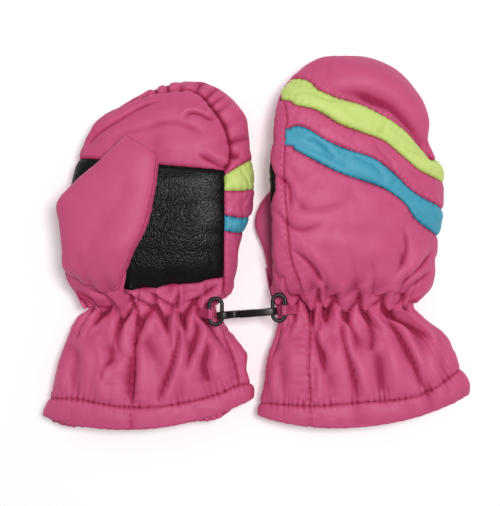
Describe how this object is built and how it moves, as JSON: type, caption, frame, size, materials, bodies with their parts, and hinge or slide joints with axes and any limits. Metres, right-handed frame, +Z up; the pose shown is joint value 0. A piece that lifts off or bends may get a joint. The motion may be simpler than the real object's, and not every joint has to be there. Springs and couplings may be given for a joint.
{
  "type": "pair of ski mittens",
  "caption": "Pair of child's padded ski mittens with gathered wrists, flared cuffs, grip palms and a sprung clip that holds them together.",
  "frame": {"origin": "on the surface that the mittens lie on, under the middle of the pair", "axes": "+Z up from the surface, +Y towards the fingertips, +X from the left mitten to the right one"},
  "size_m": [0.2144, 0.1908, 0.0469],
  "materials": {
    "pink_nylon": "satin woven nylon",
    "yellow_nylon": "satin woven nylon",
    "blue_nylon": "satin woven nylon",
    "black_grip": "grained coated grip fabric",
    "wadding": "matte fibre wadding",
    "lining": "brushed fleece",
    "elastic": "ribbed elastic",
    "black_plastic": "moulded acetal"
  },
  "bodies": {
    "left_hand": {"left_fingertip_panel": "pink_nylon", "left_yellow_stripe": "yellow_nylon", "left_middle_panel": "pink_nylon", "left_blue_stripe": "blue_nylon", "left_back_panel": "pink_nylon", "left_side_panel": "pink_nylon", "left_palm_tip_panel": "pink_nylon", "left_palm_patch": "black_grip", "left_palm_heel_panel": "pink_nylon", "left_hand_wadding": "wadding", "left_hand_lining": "lining", "left_wrist_gather": "pink_nylon", "left_wrist_elastic": "elastic", "left_wrist_lining": "lining", "left_ring_tab": "pink_nylon"},
    "left_cuff": {"left_cuff_thumb_side_panel": "pink_nylon", "left_cuff_finger_side_panel": "pink_nylon", "left_cuff_side_panel": "pink_nylon", "left_cuff_back_panel": "pink_nylon", "left_hem_band": "pink_nylon", "left_cuff_wadding": "wadding", "left_cuff_lining": "lining"},
    "left_thumb": {"left_thumb_front_panel": "pink_nylon", "left_thumb_back_panel": "pink_nylon", "left_thumb_wadding": "wadding", "left_thumb_lining": "lining"},
    "left_ring": {"left_ring": "black_plastic"},
    "right_hand": {"right_fingertip_panel": "pink_nylon", "right_yellow_stripe": "yellow_nylon", "right_middle_panel": "pink_nylon", "right_blue_stripe": "blue_nylon", "right_back_panel": "pink_nylon", "right_side_panel": "pink_nylon", "right_palm_tip_panel": "pink_nylon", "right_palm_patch": "black_grip", "right_palm_heel_panel": "pink_nylon", "right_hand_wadding": "wadding", "right_hand_lining": "lining", "right_wrist_gather": "pink_nylon", "right_wrist_elastic": "elastic", "right_wrist_lining": "lining", "right_ring_tab": "pink_nylon"},
    "right_cuff": {"right_cuff_thumb_side_panel": "pink_nylon", "right_cuff_finger_side_panel": "pink_nylon", "right_cuff_side_panel": "pink_nylon", "right_cuff_back_panel": "pink_nylon", "right_hem_band": "pink_nylon", "right_cuff_wadding": "wadding", "right_cuff_lining": "lining"},
    "right_thumb": {"right_thumb_front_panel": "pink_nylon", "right_thumb_back_panel": "pink_nylon", "right_thumb_wadding": "wadding", "right_thumb_lining": "lining"},
    "right_ring": {"right_ring": "black_plastic"},
    "clip": {"clip_frame": "black_plastic"},
    "left_clip_gate": {"left_clip_gate": "black_plastic"},
    "right_clip_gate": {"right_clip_gate": "black_plastic"}
  },
  "joints": [
    {"name": "left_thumb_swing", "type": "hinge", "parent": "left_hand", "child": "left_thumb", "pos_m": [-0.08018, -0.00983, 0.03001], "axis": [0, 0, 1], "range_deg": [-6, 30]},
    {"name": "right_thumb_swing", "type": "hinge", "parent": "right_hand", "child": "right_thumb", "pos_m": [0.02062, -0.01293, 0.00801], "axis": [0, 0, 1], "range_deg": [-12, 0]},
    {"name": "left_wrist_bend", "type": "hinge", "parent": "left_hand", "child": "left_cuff", "pos_m": [-0.05318, -0.03383, 0.01031], "axis": [-1, 0, 0], "range_deg": [0, 16], "deforming": ["left_wrist_gather", "left_wrist_elastic", "left_wrist_lining"]},
    {"name": "right_wrist_bend", "type": "hinge", "parent": "right_hand", "child": "right_cuff", "pos_m": [0.04662, -0.03693, 0.01031], "axis": [-1, 0, 0], "range_deg": [0, 20], "deforming": ["right_wrist_gather", "right_wrist_elastic", "right_wrist_lining"]},
    {"name": "left_ring_flip", "type": "hinge", "parent": "left_hand", "child": "left_ring", "pos_m": [-0.02288, -0.03443, 0.02521], "axis": [0, -1, 0], "range_deg": [0, 60]},
    {"name": "clip_swing_left", "type": "hinge", "parent": "left_ring", "child": "clip", "pos_m": [-0.01658, -0.03443, 0.02521], "axis": [0, -1, 0], "range_deg": [0, 20]},
    {"name": "clip_swing_right", "type": "hinge", "parent": "clip", "child": "right_ring", "pos_m": [0.00852, -0.03443, 0.02521], "axis": [0, -1, 0], "range_deg": [0, 8]},
    {"name": "right_ring_flip", "type": "hinge", "parent": "right_ring", "child": "right_hand", "pos_m": [0.01482, -0.03263, 0.02521], "axis": [0, -1, 0], "range_deg": [0, 8]},
    {"name": "left_gate_open", "type": "hinge", "parent": "clip", "child": "left_clip_gate", "pos_m": [-0.00891, -0.03582, 0.02651], "axis": [0.0794, -0.9968, 0], "range_deg": [0, 12], "stiffness_Nm_per_rad": 0.002},
    {"name": "right_gate_open", "type": "hinge", "parent": "clip", "child": "right_clip_gate", "pos_m": [0.00085, -0.03504, 0.02391], "axis": [0.0794, -0.9968, 0], "range_deg": [0, 12], "stiffness_Nm_per_rad": 0.002}
  ]
}
